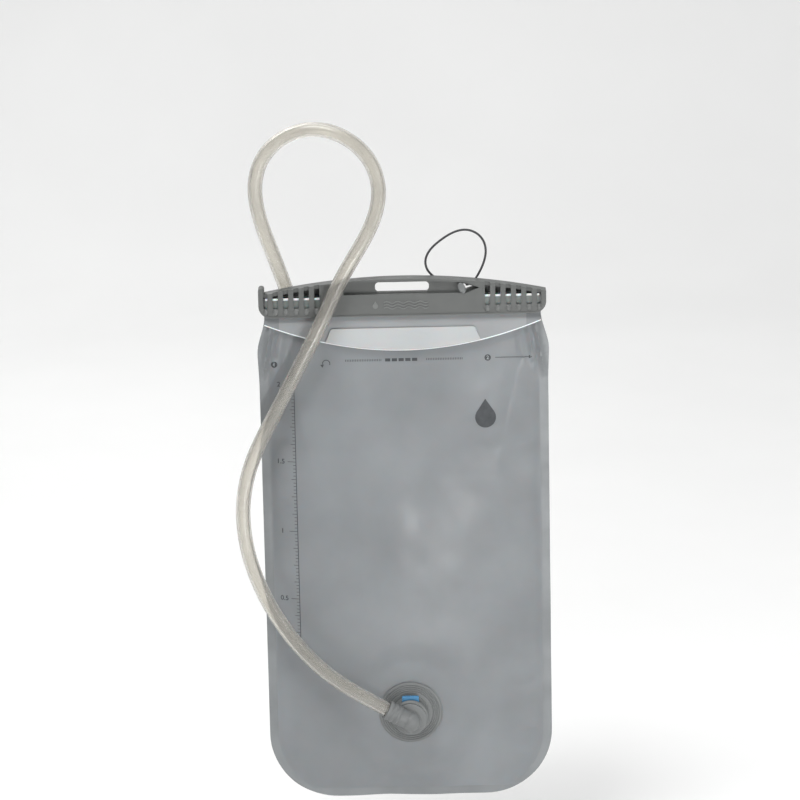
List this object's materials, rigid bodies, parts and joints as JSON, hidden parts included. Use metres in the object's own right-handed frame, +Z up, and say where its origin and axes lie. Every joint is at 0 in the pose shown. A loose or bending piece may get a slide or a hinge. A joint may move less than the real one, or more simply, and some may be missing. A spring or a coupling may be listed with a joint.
{
  "type": "hydration bladder",
  "caption": "Soft fold-top water bag with a slide closure, hang slot, quick-connect port and drinking hose ending in a twist-lock bite valve.",
  "frame": {"origin": "middle of the hang slot's upper face, which the bladder hangs from", "axes": "+Z up along the hanging bag, -Y towards the front with the port and the scale, +X to the right seen from the front"},
  "size_m": [0.2073, 0.0689, 0.4595],
  "materials": {
    "film": "frosted translucent grey film",
    "rail": "milky white",
    "closure": "fine moulded grain, mid grey",
    "fitting": "satin grey",
    "accent": "satin blue",
    "seal": "smooth black",
    "silicone": "soft translucent",
    "hose": "clear, faintly warm",
    "tether": "thin braided cord",
    "spring": "bright wire"
  },
  "bodies": {
    "closure": {"slide_closure": "closure", "tether_toggle": "fitting", "tether_loop": "tether"},
    "reservoir": {"front_film": "film", "back_film": "film", "front_seal_rail": "rail", "back_seal_rail": "rail", "outer_mouth_tab": "rail", "inner_mouth_tab": "rail", "port_flange": "fitting", "port_housing": "fitting", "spring_retainer": "fitting", "poppet_spring": "spring", "drink_hose": "hose", "valve_body": "fitting", "valve_seal": "seal"},
    "plug": {"plug_elbow": "fitting", "plug_seal_inner": "seal", "plug_seal_outer": "seal"},
    "button": {"release_button": "accent"},
    "poppet": {"poppet": "fitting", "poppet_seal": "seal"},
    "collar": {"twist_collar": "accent", "bite_sheath": "silicone"}
  },
  "joints": [
    {"name": "closure_slide", "type": "slide", "parent": "closure", "child": "reservoir", "axis": [1, 0, 0], "range_m": [0, 0.195]},
    {"name": "plug_pull", "type": "slide", "parent": "reservoir", "child": "plug", "axis": [0, -1, 0], "range_m": [0, 0.014]},
    {"name": "button_press", "type": "slide", "parent": "reservoir", "child": "button", "axis": [0, 0, -1], "range_m": [0, 0.0015], "stiffness_N_per_m": 400},
    {"name": "poppet_lift", "type": "slide", "parent": "reservoir", "child": "poppet", "axis": [0, 1, 0], "range_m": [0, 0.003], "stiffness_N_per_m": 300, "deforming": ["poppet_spring"]},
    {"name": "collar_twist", "type": "hinge", "parent": "reservoir", "child": "collar", "pos_m": [-0.0765, 0.0195, -0.275], "axis": [-0.061, 0.0177, -0.998], "range_deg": [0, 90]}
  ]
}
